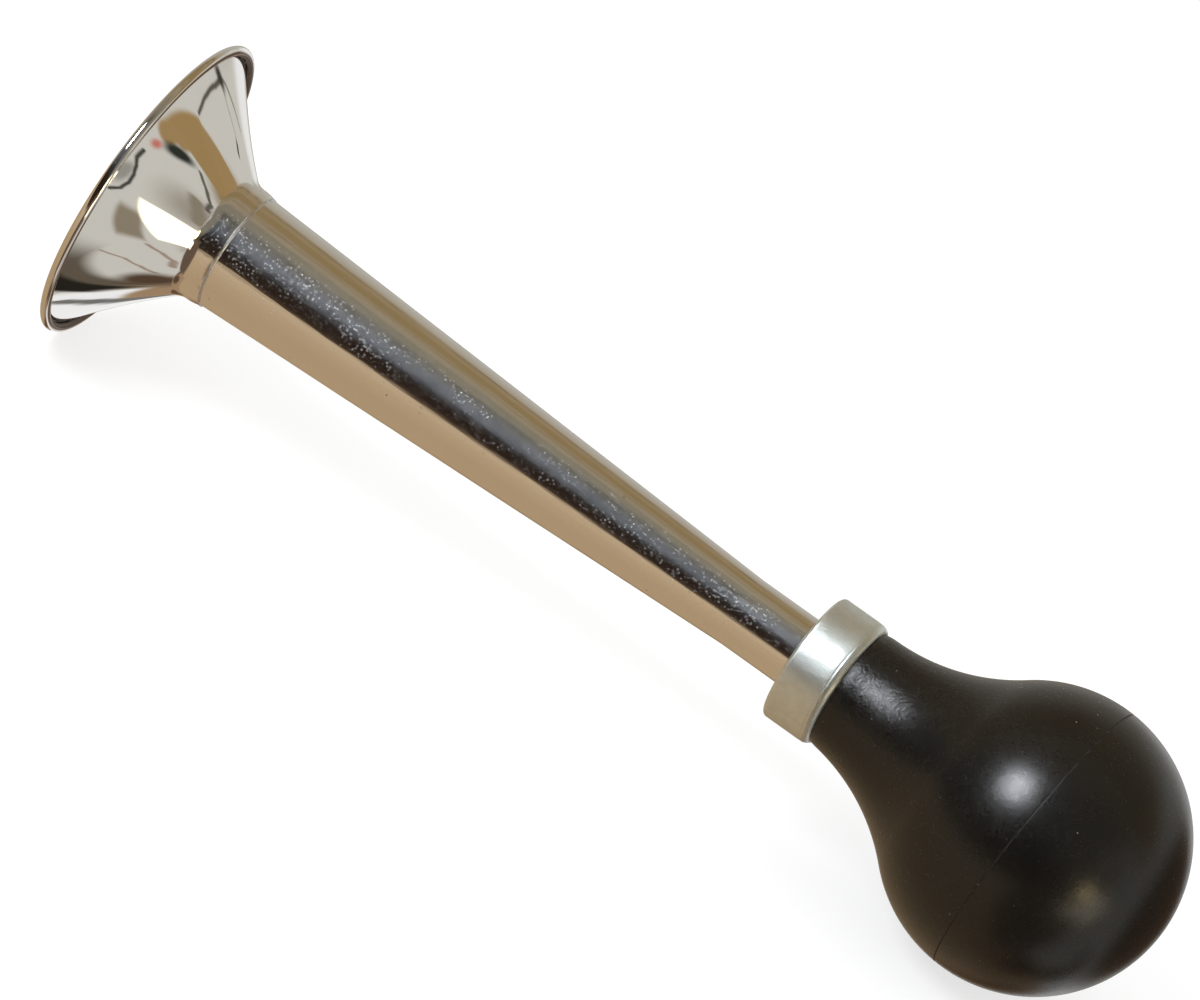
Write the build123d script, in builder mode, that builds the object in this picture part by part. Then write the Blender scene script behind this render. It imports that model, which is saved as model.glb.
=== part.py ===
from build123d import *
import math
import os

# Bulb horn, lying on its side: the rim of the bell and the rubber bulb both rest on the ground.
# Its axis is level, along X, with the mouth towards -X. The origin is on the ground, midway along it.
# A station is a distance behind the front of the rim, measured along the horn's axis.

# Sheet metal of the bell and the tube
sheet = 0.5

# Rolled rim of the bell, round a wire
rim_radius = 41.4
wire_radius = 0.8
rim_curl_turn = 285
bead_radius = wire_radius + sheet

# Flare of the bell, and the throat sleeve that laps over the tube
flare_slope = 52.0
flare_arc_radius = 170.0
throat_arc_radius = 5.0
sleeve_radius = 16.1
lap_station = 28.3
solder_seat = 3.0
solder_run = 0.7

# Taper tube and its straight tail
tube_start = 23.6
lap_tube_radius = 15.35
taper_end = 179.2
tail_radius = 9.05
tube_end = 199.0

# Brass tail socket, soldered in the tube, with a male thread for the bulb
spigot_start = 187.0
spigot_radius = tail_radius - sheet
shoulder_radius = 9.0
shoulder_length = 0.6
thread_radius = 8.0
thread_pitch = 1.5
thread_turns = 6
socket_bore_radius = 5.5
socket_chamfer = 0.5
thread_start = tube_end + shoulder_length
thread_end = thread_start + thread_pitch * thread_turns

# Leather washer between the shoulder and the bulb's bush
gasket_inner_radius = 8.3
gasket_outer_radius = 9.2
gasket_thickness = 1.0

# Reed: a round foot held in a cork sleeve, and a half-round trough with a flat face and a slot in it
reed_radius = 5.0
reed_wall = 0.8
foot_start = 200.5
foot_length = 9.0
foot_bore_radius = 3.2
trough_length = 34.0
face_height = 0.8
slot_width = 3.4
slot_start = 216.5
slot_length = 22.5
plug_thickness = 1.5
cork_start = 201.0
cork_length = 7.0
trough_start = foot_start + foot_length
trough_end = trough_start + trough_length

# Springy tongue over the slot, under a clamp with two cheese-head screws
clamp_start = 210.2
clamp_length = 5.0
clamp_width = 6.6
clamp_thickness = 1.0
clamp_chamfer = 0.25
tongue_width = 4.8
tongue_reach = 25.4
tongue_thickness = 0.25
tongue_lift = 0.8
screw_spacing = 2.8
screw_shank_radius = 0.55
screw_hole_radius = 0.65
screw_head_radius = 1.0
screw_head_height = 0.8
driver_slot_width = 0.3
driver_slot_depth = 0.3

# Aluminium collar, a cup spun in behind the bead of the bulb's neck
collar_front = 197.4
collar_rear = 210.6
collar_radius = 16.9
collar_wall = 1.0
collar_hole_radius = 9.4
collar_corner_radius = 1.6
roll_in_length = 4.8
roll_in_depth = 1.0

# Brass bush in the bulb's neck, which screws onto the tail socket
bush_flange_radius = 15.0
bush_flange_thickness = 2.5
bush_barb_radius = 12.4
bush_root_radius = 11.7
bush_barb_pitch = 3.1
bush_barbs = 3
bush_bore_radius = 8.15
bush_start = collar_front + collar_wall
barbs_start = bush_start + bush_flange_thickness
bush_end = barbs_start + bush_barb_pitch * bush_barbs
gasket_seat = thread_start + gasket_thickness

# Rubber bulb, with a round neck that flares into a ball and droops a little from the collar
bulb_radius = 37.5
bulb_reach = 56.9
bulb_wall = 2.8
neck_radius = 15.7
neck_sweep_radius = 51.0
neck_overlap = 1.5
vent_spot_radius = 0.5
rubber_gap = 0.12
neck_bead_start = barbs_start + rubber_gap
neck_bead_radius = collar_radius - collar_wall - rubber_gap
neck_bore_radius = bush_barb_radius + rubber_gap

# The axis is as high as the rim is wide, and the ball hangs from the collar until it is on the ground
axis_height = rim_radius
bulb_droop = rim_radius - bulb_radius
bulb_tilt = math.asin(bulb_droop / bulb_reach)
horn_length = collar_rear + bulb_reach * math.cos(bulb_tilt) + bulb_radius
mouth_x = -horn_length / 2

horn_side = Plane(origin=(mouth_x, 0, axis_height), x_dir=(1, 0, 0), z_dir=(0, -1, 0))
horn_axis = Axis((mouth_x, 0, axis_height), (1, 0, 0))
bulb_pivot = (mouth_x + collar_rear, 0, axis_height)
bulb_direction = (math.cos(bulb_tilt), 0, -math.sin(bulb_tilt))
bulb_side = Plane(origin=bulb_pivot, x_dir=bulb_direction, z_dir=(0, -1, 0))
bulb_axis = Axis(bulb_pivot, bulb_direction)


def across(station):
    """The plane square to the horn's axis at a station, with local X along Y and local Y up."""
    return Plane(origin=(mouth_x + station, 0, axis_height), x_dir=(0, 1, 0), z_dir=(1, 0, 0))


def above(height):
    """The level plane at a height over the horn's axis, with the station as local X."""
    return Plane(origin=(mouth_x, 0, axis_height + height), x_dir=(1, 0, 0), z_dir=(0, 0, 1))


def tube_radius(station):
    """Outer radius of the taper tube at a station."""
    taper = (lap_tube_radius - tail_radius) / (taper_end - lap_station)
    return tail_radius + taper * max(taper_end - station, 0)


os.makedirs("parts", exist_ok=True)

# Bell: one sheet, from the rolled rim down the flare to the throat sleeve. Its line is a chain of
# tangent arcs, drawn once for the back of the sheet, which touches the wire, and once for its front.
# The slope where the throat arc meets the flare arc follows from the rise between sleeve and wire.
wire_center = (bead_radius, rim_radius - bead_radius)
rim_slope = math.radians(flare_slope)
flare_rise = wire_center[1] - wire_radius * math.cos(rim_slope) - sleeve_radius
meeting_slope = math.acos(
    (flare_rise - throat_arc_radius + flare_arc_radius * math.cos(rim_slope))
    / (flare_arc_radius - throat_arc_radius)
)
throat_station = (
    wire_center[0]
    + (flare_arc_radius - wire_radius) * math.sin(rim_slope)
    - (flare_arc_radius - throat_arc_radius) * math.sin(meeting_slope)
)
throat_turn = math.degrees(meeting_slope)
with BuildPart() as bell:
    with BuildSketch(horn_side):
        with BuildLine():
            ends = []
            for depth in (0, sheet):
                wall_radius = sleeve_radius - depth
                sleeve = Line((lap_station, wall_radius), (throat_station, wall_radius))
                throat = JernArc(sleeve @ 1, (-1, 0), throat_arc_radius + depth, -throat_turn)
                flare = JernArc(
                    throat @ 1, throat % 1, flare_arc_radius + depth, throat_turn - flare_slope
                )
                curl = JernArc(flare @ 1, flare % 1, wire_radius + depth, -rim_curl_turn)
                ends.append((sleeve @ 0, curl @ 1))
            Line(ends[0][0], ends[1][0])
            Line(ends[0][1], ends[1][1])
        make_face()
    revolve(axis=horn_axis)
bell.part.label = "bell"
export_step(bell.part, "parts/bell.step")

# Wire inside the rolled rim
with BuildPart() as rim_wire:
    with BuildSketch(horn_side):
        with Locations(wire_center):
            Circle(wire_radius)
    revolve(axis=horn_axis)
rim_wire.part.label = "rim_wire"
export_step(rim_wire.part, "parts/rim_wire.step")

# Taper tube: a cone that ends in a straight tail
with BuildPart() as horn_tube:
    with BuildSketch(horn_side):
        with BuildLine():
            Polyline(
                (tube_start, tube_radius(tube_start)),
                (taper_end, tail_radius),
                (tube_end, tail_radius),
                (tube_end, tail_radius - sheet),
                (taper_end, tail_radius - sheet),
                (tube_start, tube_radius(tube_start) - sheet),
                close=True,
            )
        make_face()
    revolve(axis=horn_axis)
horn_tube.part.label = "horn_tube"
export_step(horn_tube.part, "parts/horn_tube.step")

# Solder in the lap between the throat sleeve and the tube, with a bead at the sleeve's edge
solder_start = lap_station - solder_seat
solder_end = lap_station + solder_run
with BuildPart() as bell_solder:
    with BuildSketch(horn_side):
        with BuildLine():
            Polyline(
                (solder_start, tube_radius(solder_start)),
                (solder_start, sleeve_radius - sheet),
                (lap_station, sleeve_radius - sheet),
                (lap_station, sleeve_radius),
                (solder_end, tube_radius(solder_end)),
                close=True,
            )
        make_face()
    revolve(axis=horn_axis)
bell_solder.part.label = "bell_solder"
export_step(bell_solder.part, "parts/bell_solder.step")

# Tail socket: a spigot in the tube, a shoulder against its end, and the male thread, here plain
with BuildPart() as tail_socket:
    with BuildSketch(horn_side):
        with BuildLine():
            Polyline(
                (spigot_start, socket_bore_radius),
                (spigot_start, spigot_radius),
                (tube_end, spigot_radius),
                (tube_end, shoulder_radius),
                (thread_start, shoulder_radius),
                (thread_start, thread_radius),
                (thread_end - socket_chamfer, thread_radius),
                (thread_end, thread_radius - socket_chamfer),
                (thread_end, socket_bore_radius),
                close=True,
            )
        make_face()
    revolve(axis=horn_axis)
tail_socket.part.label = "tail_socket"
export_step(tail_socket.part, "parts/tail_socket.step")

# Solder in the corner between the spigot and the tube
with BuildPart() as tail_solder:
    with BuildSketch(horn_side):
        with BuildLine():
            Polyline(
                (spigot_start, spigot_radius),
                (spigot_start - solder_run, spigot_radius),
                (spigot_start, spigot_radius - solder_run),
                close=True,
            )
        make_face()
    revolve(axis=horn_axis)
tail_solder.part.label = "tail_solder"
export_step(tail_solder.part, "parts/tail_solder.step")

# Cork sleeve that grips the reed's foot in the socket
with BuildPart() as reed_cork:
    with BuildSketch(across(cork_start)):
        Circle(socket_bore_radius)
        Circle(reed_radius, mode=Mode.SUBTRACT)
    extrude(amount=cork_length)
reed_cork.part.label = "reed_cork"
export_step(reed_cork.part, "parts/reed_cork.step")

# Reed body: a bored foot and a hollow half-round trough, whose flat face has the slot and screw holes
below_face = (Align.CENTER, Align.MAX)
screw_station = clamp_start + clamp_length / 2
with BuildPart() as reed_body:
    with BuildSketch(across(foot_start)):
        Circle(reed_radius)
        Circle(foot_bore_radius, mode=Mode.SUBTRACT)
    extrude(amount=foot_length)
    with BuildSketch(across(trough_start)):
        Circle(reed_radius)
        with Locations((0, face_height)):
            Rectangle(2 * reed_radius, 2 * reed_radius, align=below_face, mode=Mode.INTERSECT)
    extrude(amount=trough_length)
    with BuildSketch(across(trough_start)):
        Circle(reed_radius - reed_wall)
        with Locations((0, face_height - reed_wall)):
            Rectangle(2 * reed_radius, 2 * reed_radius, align=below_face, mode=Mode.INTERSECT)
    extrude(amount=trough_length, mode=Mode.SUBTRACT)
    with BuildSketch(above(face_height)):
        with Locations((slot_start + slot_length / 2, 0)):
            Rectangle(slot_length, slot_width)
        with Locations((screw_station, screw_spacing / 2), (screw_station, -screw_spacing / 2)):
            Circle(screw_shank_radius)
    extrude(amount=-reed_wall, mode=Mode.SUBTRACT)
reed_body.part.label = "reed_body"
export_step(reed_body.part, "parts/reed_body.step")

# Plug that closes the end of the trough
with BuildPart() as reed_end_plug:
    with BuildSketch(across(trough_end - plug_thickness)):
        Circle(reed_radius - reed_wall)
        with Locations((0, face_height - reed_wall)):
            Rectangle(2 * reed_radius, 2 * reed_radius, align=below_face, mode=Mode.INTERSECT)
    extrude(amount=plug_thickness)
reed_end_plug.part.label = "reed_end_plug"
export_step(reed_end_plug.part, "parts/reed_end_plug.step")

# Tongue: flat under the clamp, then curved away from the face so that air can set it beating
clamp_end = clamp_start + clamp_length
tongue_arc_radius = (tongue_reach**2 + tongue_lift**2) / (2 * tongue_lift)
tongue_turn = math.degrees(math.asin(tongue_reach / tongue_arc_radius))
with BuildPart() as reed_tongue:
    with BuildSketch(horn_side):
        with BuildLine():
            ends = []
            for depth in (0, tongue_thickness):
                height = face_height + depth
                root = Line((clamp_start, height), (clamp_end, height))
                free = JernArc(root @ 1, (1, 0), tongue_arc_radius - depth, tongue_turn)
                ends.append((root @ 0, free @ 1))
            Line(ends[0][0], ends[1][0])
            Line(ends[0][1], ends[1][1])
        make_face()
    extrude(amount=tongue_width / 2, both=True)
    with BuildSketch(above(face_height)):
        with Locations((screw_station, screw_spacing / 2), (screw_station, -screw_spacing / 2)):
            Circle(screw_hole_radius)
    extrude(amount=tongue_thickness, mode=Mode.SUBTRACT)
reed_tongue.part.label = "reed_tongue"
export_step(reed_tongue.part, "parts/reed_tongue.step")

# Clamp plate over the tongue's root
clamp_height = face_height + tongue_thickness
with BuildPart() as reed_clamp:
    with BuildSketch(above(clamp_height)):
        with Locations((screw_station, 0)):
            Rectangle(clamp_length, clamp_width)
        with Locations((screw_station, screw_spacing / 2), (screw_station, -screw_spacing / 2)):
            Circle(screw_shank_radius, mode=Mode.SUBTRACT)
    extrude(amount=clamp_thickness)
    clamp_top = reed_clamp.faces().sort_by(Axis.Z)[-1]
    chamfer(clamp_top.outer_wire().edges(), length=clamp_chamfer)
reed_clamp.part.label = "reed_clamp"
export_step(reed_clamp.part, "parts/reed_clamp.step")

# Two cheese-head screws through the clamp and the tongue into the face
head_height = clamp_height + clamp_thickness
with BuildPart() as reed_screws:
    with BuildSketch(above(face_height - reed_wall)):
        with Locations((screw_station, screw_spacing / 2), (screw_station, -screw_spacing / 2)):
            Circle(screw_shank_radius)
    extrude(amount=head_height - face_height + reed_wall)
    with BuildSketch(above(head_height)):
        with Locations((screw_station, screw_spacing / 2), (screw_station, -screw_spacing / 2)):
            Circle(screw_head_radius)
    extrude(amount=screw_head_height)
    with BuildSketch(above(head_height + screw_head_height)):
        with Locations((screw_station, screw_spacing / 2), (screw_station, -screw_spacing / 2)):
            Rectangle(2 * screw_head_radius, driver_slot_width)
    extrude(amount=-driver_slot_depth, mode=Mode.SUBTRACT)
reed_screws.part.label = "reed_screws"
export_step(reed_screws.part, "parts/reed_screws.step")

# Leather washer
with BuildPart() as gasket:
    with BuildSketch(across(thread_start)):
        Circle(gasket_outer_radius)
        Circle(gasket_inner_radius, mode=Mode.SUBTRACT)
    extrude(amount=gasket_thickness)
gasket.part.label = "gasket"
export_step(gasket.part, "parts/gasket.step")

# Collar: a cup with a holed front, a rounded corner, a straight band and a rolled-in rear edge
roll_in_radius = (roll_in_length**2 + roll_in_depth**2) / (2 * roll_in_depth)
roll_in_turn = math.degrees(math.asin(roll_in_length / roll_in_radius))
with BuildPart() as collar:
    with BuildSketch(horn_side) as collar_section:
        with BuildLine():
            ends = []
            for depth in (0, collar_wall):
                front = Line(
                    (collar_front + depth, collar_hole_radius),
                    (collar_front + depth, collar_radius - collar_corner_radius),
                )
                corner = JernArc(front @ 1, (0, 1), collar_corner_radius - depth, -90)
                band = Line(corner @ 1, (collar_rear - roll_in_length, collar_radius - depth))
                roll_in = JernArc(band @ 1, (1, 0), roll_in_radius - depth, -roll_in_turn)
                ends.append((front @ 0, roll_in @ 1))
            Line(ends[0][0], ends[1][0])
            Line(ends[0][1], ends[1][1])
        make_face()
    revolve(axis=horn_axis)
collar.part.label = "collar"
export_step(collar.part, "parts/collar.step")

# Neck bush: a flange behind the collar's front, a seat for the washer, and barbs in the rubber.
# Its bore stands for the female thread, here plain.
barb_line = []
for barb in range(bush_barbs):
    barb_front = barbs_start + barb * bush_barb_pitch
    barb_line.append((barb_front, bush_barb_radius))
    barb_line.append((barb_front + bush_barb_pitch, bush_root_radius))
with BuildPart() as neck_bush:
    with BuildSketch(horn_side):
        with BuildLine():
            Polyline(
                (bush_start, collar_hole_radius),
                (bush_start, bush_flange_radius),
                (barbs_start, bush_flange_radius),
                *barb_line,
                (bush_end, bush_bore_radius),
                (gasket_seat, bush_bore_radius),
                (gasket_seat, collar_hole_radius),
                close=True,
            )
        make_face()
    revolve(axis=horn_axis)
neck_bush.part.label = "neck_bush"
export_step(neck_bush.part, "parts/neck_bush.step")

# Rubber bulb: a ball on a swept neck, both on the drooping axis, and a level neck bead in the collar.
# The sweep is tangent to the neck and to the ball, and the cavity is the same line drawn inside it.
# The ball ends in the tiny flat spot where the mould was vented.
sweep_turn = math.acos((neck_radius + neck_sweep_radius) / (bulb_radius + neck_sweep_radius))
sweep_start = bulb_reach - (bulb_radius + neck_sweep_radius) * math.sin(sweep_turn)
with BuildPart() as rubber_bulb:
    with BuildSketch(horn_side):
        with Locations((neck_bead_start, 0)):
            Rectangle(
                collar_rear - neck_bead_start, neck_bead_radius, align=(Align.MIN, Align.MIN)
            )
    revolve(axis=horn_axis)
    for depth, mode in ((0, Mode.ADD), (bulb_wall, Mode.SUBTRACT)):
        with BuildSketch(bulb_side) as ball_section:
            with BuildLine():
                neck = Polyline(
                    (-neck_overlap, 0),
                    (-neck_overlap, neck_radius - depth),
                    (sweep_start, neck_radius - depth),
                )
                sweep_arc = JernArc(
                    neck @ 1, (1, 0), neck_sweep_radius + depth, math.degrees(sweep_turn)
                )
                ball_turn = math.pi / 2 + sweep_turn - math.asin(vent_spot_radius / (bulb_radius - depth))
                ball = JernArc(
                    sweep_arc @ 1, sweep_arc % 1, bulb_radius - depth, -math.degrees(ball_turn)
                )
                Polyline(ball @ 1, ((ball @ 1).X, 0), neck @ 0)
            make_face()
        revolve(axis=bulb_axis, mode=mode)
    with BuildSketch(horn_side):
        add(collar_section.sketch_local)
        offset(amount=rubber_gap, kind=Kind.INTERSECTION)
        with Locations((neck_bead_start, 0)):
            Rectangle(
                collar_rear - neck_bead_start, neck_bore_radius, align=(Align.MIN, Align.MIN)
            )
    revolve(axis=horn_axis, mode=Mode.SUBTRACT)
rubber_bulb.part.label = "rubber_bulb"
export_step(rubber_bulb.part, "parts/rubber_bulb.step")

print("length", round(horn_length, 2), "mm, bulb tilt", round(math.degrees(bulb_tilt), 2), "degrees")
print("throat at station", round(throat_station, 2), "and slope", round(throat_turn, 1), "degrees")
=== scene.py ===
import math

import bpy
import numpy as np
from mathutils import Matrix, Vector


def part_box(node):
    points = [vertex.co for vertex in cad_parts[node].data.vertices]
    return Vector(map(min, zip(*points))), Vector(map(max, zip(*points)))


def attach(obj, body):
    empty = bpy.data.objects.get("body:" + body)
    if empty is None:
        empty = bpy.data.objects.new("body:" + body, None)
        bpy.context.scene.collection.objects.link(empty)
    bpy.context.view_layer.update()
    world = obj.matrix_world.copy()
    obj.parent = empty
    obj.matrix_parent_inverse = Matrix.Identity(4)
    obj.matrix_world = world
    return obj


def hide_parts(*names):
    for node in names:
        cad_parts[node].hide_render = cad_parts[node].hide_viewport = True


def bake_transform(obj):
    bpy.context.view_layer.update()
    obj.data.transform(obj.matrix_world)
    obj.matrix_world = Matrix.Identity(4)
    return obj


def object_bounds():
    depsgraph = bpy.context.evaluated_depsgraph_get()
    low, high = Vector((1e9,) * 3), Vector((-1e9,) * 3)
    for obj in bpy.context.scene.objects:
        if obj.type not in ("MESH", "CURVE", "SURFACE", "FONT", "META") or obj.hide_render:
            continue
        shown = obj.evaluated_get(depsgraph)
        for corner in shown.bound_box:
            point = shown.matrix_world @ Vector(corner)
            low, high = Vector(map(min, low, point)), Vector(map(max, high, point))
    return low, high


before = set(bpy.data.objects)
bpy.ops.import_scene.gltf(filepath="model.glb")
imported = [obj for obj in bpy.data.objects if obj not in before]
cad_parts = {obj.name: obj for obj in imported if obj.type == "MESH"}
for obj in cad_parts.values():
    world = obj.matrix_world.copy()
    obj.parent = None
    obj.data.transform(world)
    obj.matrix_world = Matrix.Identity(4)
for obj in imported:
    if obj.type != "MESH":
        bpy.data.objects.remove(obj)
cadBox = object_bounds()
print("frame loaded:", len(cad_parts), "nodes")

# Lengths below are millimetres. A station is how far a point is behind the front of the rim, and a
# radius is how far it is from the horn's axis, which is level, at the rim's radius above the floor.
mm = 0.001
bellLow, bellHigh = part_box("bell")
mouthX = bellLow.x
axisZ = (bellLow.z + bellHigh.z) / 2


def place(station, side, up):
    # A point at a station, some way to the far side and above the horn's axis, in metres
    return Vector((mouthX + station * mm, side * mm, axisZ + up * mm))


def addObject(name, data):
    thing = bpy.data.objects.new(name, data)
    bpy.context.scene.collection.objects.link(thing)
    return thing


def linear(red, green, blue):
    # Screen colour, 0 to 255, as the linear light that a shader takes
    share = np.array((red, green, blue)) / 255
    light = np.where(share <= 0.04045, share / 12.92, ((share + 0.055) / 1.055) ** 2.4)
    return (*light.tolist(), 1.0)


# Camera, at the photograph's angle: it stands behind the mouth's side, looks down, and is rolled
photoView = {
    "azimuth": 11.461,
    "elevation": 26.0,
    "roll": 30.356,
    "distance": 2.6,            # metres from the middle of the horn's axis
    "pixelsPerMetre": 4205,     # at that distance
    "frameWidth": 1200,
    "frameHeight": 1000,
    "middlePixel": (651.9, 547.8),
}


def makeCamera(spec):
    azimuth, elevation, roll = (math.radians(spec[k]) for k in ("azimuth", "elevation", "roll"))
    back = Vector((
        math.sin(azimuth) * math.cos(elevation),
        -math.cos(azimuth) * math.cos(elevation),
        math.sin(elevation),
    ))
    levelRight = Vector((math.cos(azimuth), math.sin(azimuth), 0))
    levelUp = back.cross(levelRight)
    right = levelRight * math.cos(roll) + levelUp * math.sin(roll)
    up = levelUp * math.cos(roll) - levelRight * math.sin(roll)
    middle = Vector(((cadBox[0].x + cadBox[1].x) / 2, 0, axisZ))
    offRight = (spec["middlePixel"][0] - spec["frameWidth"] / 2) / spec["pixelsPerMetre"]
    offDown = (spec["middlePixel"][1] - spec["frameHeight"] / 2) / spec["pixelsPerMetre"]
    aim = middle - right * offRight + up * offDown
    stand = middle + back * spec["distance"]
    away = (stand - aim).normalized()
    across = up.cross(away).normalized()
    data = bpy.data.cameras.new("photoCamera")
    data.sensor_width = 36
    data.lens = spec["pixelsPerMetre"] * spec["distance"] * data.sensor_width / spec["frameWidth"]
    data.clip_start = 0.05
    data.clip_end = 30
    camera = addObject("photoCamera", data)
    turn = Matrix((across, away.cross(across), away)).transposed().to_4x4()
    camera.matrix_world = Matrix.Translation(stand) @ turn
    bpy.context.scene.camera = camera


makeCamera(photoView)
bpy.context.scene.view_settings.view_transform = "Standard"
print("camera placed")


# Nodes: kind is a shader node's type, settings are its properties, and inputs are values or sockets
def addNode(tree, kind, inputs=None, **settings):
    node = tree.nodes.new("ShaderNode" + kind)
    for key, value in settings.items():
        setattr(node, key, value)
    for key, value in (inputs or {}).items():
        if isinstance(value, bpy.types.NodeSocket):
            tree.links.new(value, node.inputs[key])
        else:
            node.inputs[key].default_value = value
    return node


def mathNode(tree, operation, first, second=0.0):
    return addNode(tree, "Math", {0: first, 1: second}, operation=operation).outputs[0]


def times(tree, product, *factors):
    for factor in factors:
        product = mathNode(tree, "MULTIPLY", product, factor)
    return product


def vectorNode(tree, operation, first, second=(0, 0, 0)):
    # A length or a dot product comes as a number, anything else as a vector
    result = "Value" if operation in ("LENGTH", "DOT_PRODUCT") else "Vector"
    return addNode(tree, "VectorMath", {0: first, 1: second}, operation=operation).outputs[result]


def rampNode(tree, factor, stops):
    # A colour ramp whose stops are (place from 0 to 1, colour)
    node = addNode(tree, "ValToRGB", {"Fac": factor})
    elements = node.color_ramp.elements
    while len(elements) > 1:
        elements.remove(elements[-1])
    for number, (spot, colour) in enumerate(stops):
        element = elements[0] if number == 0 else elements.new(spot)
        element.position = spot
        element.color = colour
    return node.outputs["Color"]


def rangeNode(tree, value, low, high, newLow=0.0, newHigh=1.0, curve="LINEAR"):
    # From newLow at low to newHigh at high, and level past them
    return addNode(tree, "MapRange", {
        "Value": value, "From Min": low, "From Max": high, "To Min": newLow, "To Max": newHigh,
    }, interpolation_type=curve).outputs["Result"]


def stationNode(tree, coords, low, high, newLow=0.0, newHigh=1.0):
    # The same between two stations
    x = addNode(tree, "SeparateXYZ", {"Vector": coords}).outputs["X"]
    return rangeNode(tree, x, mouthX + low * mm, mouthX + high * mm, newLow, newHigh)


def mixColours(tree, factor, first, second):
    return addNode(tree, "Mix", {0: factor, 6: first, 7: second}, data_type="RGBA").outputs[2]


def emptyTree(owner):
    # The node tree of a material or a world, with nothing in it
    owner.use_nodes = True
    owner.node_tree.nodes.clear()
    return owner.node_tree


def newMaterial(name):
    material = bpy.data.materials.new(name)
    tree = emptyTree(material)
    return material, tree, addNode(tree, "TexCoord").outputs["Object"]


def finishMaterial(material, inputs):
    tree = material.node_tree
    shader = addNode(tree, "BsdfPrincipled", inputs)
    addNode(tree, "OutputMaterial", {"Surface": shader.outputs["BSDF"]})
    return material


def noiseNode(tree, coords, grain, detail=2.0, roughness=0.5, stretch=(1, 1, 1)):
    # Noise whose lumps are about grain millimetres across, drawn out along each axis by stretch
    scale = tuple(1 / (grain * mm * part) for part in stretch)
    mapped = addNode(tree, "Mapping", {"Vector": coords, "Scale": scale}).outputs["Vector"]
    return addNode(tree, "TexNoise", {
        "Vector": mapped, "Scale": 1.0, "Detail": detail, "Roughness": roughness,
    }).outputs["Fac"]


def speckNode(tree, coords, spacing, size):
    # Dots about size millimetres wide, one in each cell about spacing millimetres across
    cells = addNode(tree, "TexVoronoi", {"Vector": coords, "Scale": 1 / (spacing * mm)})
    dots = rangeNode(tree, cells.outputs["Distance"], size / spacing * 0.5, size / spacing * 0.3)
    return dots, cells.outputs["Color"]


def bumpNode(tree, height, depth, strength=1.0, normal=None):
    # Depth is the height in millimetres of a full step from 0 to 1
    inputs = {"Height": height, "Distance": depth * mm, "Strength": strength}
    if normal is not None:
        inputs["Normal"] = normal
    return addNode(tree, "Bump", inputs).outputs["Normal"]


# The room that the metal and the rubber mirror. Bands go round the horn: angles are degrees up from
# the near horizon, over the top to the far horizon, and under the horn below zero.
room = {
    "table": (184, 159, 127),
    "tableFar": (177, 152, 120),
    "tableBright": (194, 172, 142),
    "tableEdge": (68, 52, 38),
    "darkWall": (42, 32, 26),
    "shade": (50, 48, 48),
    "glow": (88, 91, 97),
    "greenShade": (93, 91, 84),
    "olive": (130, 123, 107),
    "paleBeam": (150, 137, 115),
    "beamShade": (138, 119, 91),
    "warmCeiling": (141, 120, 84),
    "blush": (155, 137, 108),
    "farLine": (118, 100, 77),
    "farWall": (170, 161, 146),
    "farPale": (184, 181, 174),
    "diffuseLight": 0.9,
    "wobble": 0.6,          # degrees that the shapes' edges waver
    "wobbleScale": 0.11,    # waves in a degree
}
roomBands = [
    (-180, "farPale"), (-163, "farWall"), (-150, "tableFar"), (-60, "tableFar"), (-30, "table"),
    (-11, "tableBright"), (-5.5, "tableEdge"), (1, "darkWall"), (14, "darkWall"), (24, "shade"),
    (36, "glow"), (50, "glow"), (59, "greenShade"), (66, "greenShade"), (76, "olive"), (86, "olive"),
    (93, "paleBeam"), (98, "paleBeam"), (101, "beamShade"), (105, "paleBeam"), (109, "warmCeiling"),
    (123, "warmCeiling"), (127, "blush"), (130, "warmCeiling"), (134, "blush"), (137, "farLine"),
    (140, "blush"), (148, "farWall"), (180, "farPale"),
]

# Shapes in that room, laid out as it looks from the horn towards the bulb's end. Spots are degrees
# to the near side and up from that direction, and glow multiplies a colour.
def patch(middle, half, tilt, soft, colour, glow=1.0, square=False):
    # Half is half its width and height, tilt is the degrees that it is turned, and soft is the share
    # of its half size that its edge takes. It is oval, or square.
    return {
        "middle": middle, "half": half, "tilt": tilt, "soft": soft,
        "colour": colour, "glow": glow, "square": square,
    }


def stroke(path, half, colour):
    # A line along a path of spots; half is half its width
    return {"path": path, "half": half, "colour": colour, "glow": 1.0}


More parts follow.
